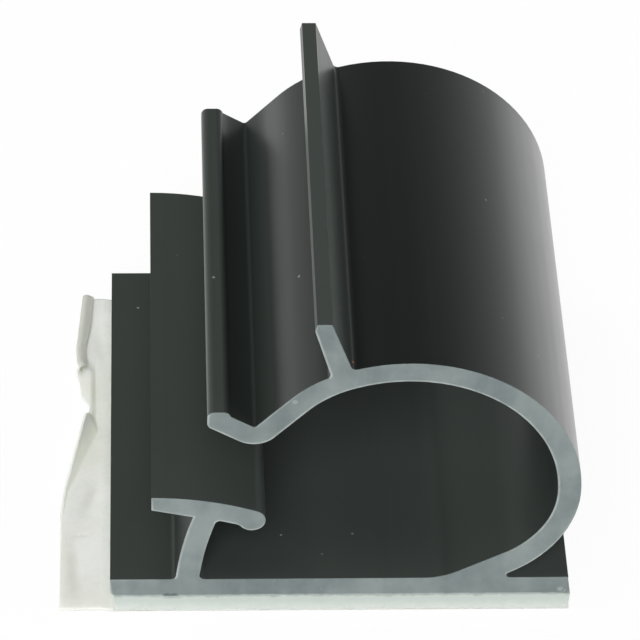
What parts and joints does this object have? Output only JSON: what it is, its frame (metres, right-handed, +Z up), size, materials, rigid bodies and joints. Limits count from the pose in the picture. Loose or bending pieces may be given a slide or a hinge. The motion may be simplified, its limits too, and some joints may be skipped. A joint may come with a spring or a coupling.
{
  "type": "adhesive cable clip",
  "caption": "Open adhesive cable clip: an extruded strap with a hooked lip and a finger rib over a T-shaped latch post, on a foam pad with its curled release liner.",
  "frame": {"origin": "on the release liner's underside, straight below the middle of the base", "axes": "+X across the base towards the strap's root, +Y along the extrusion, +Z up from the liner"},
  "size_m": [0.0285, 0.0257, 0.0217],
  "materials": {
    "clip_plastic": "satin extruded skin, with paler sawn ends",
    "pad_foam": "soft foam with cut edges",
    "liner_paper": "coated paper with a faint sheen"
  },
  "bodies": {
    "root": {"clip_body": "clip_plastic", "foam_pad": "pad_foam", "release_liner": "liner_paper"}
  },
  "joints": []
}
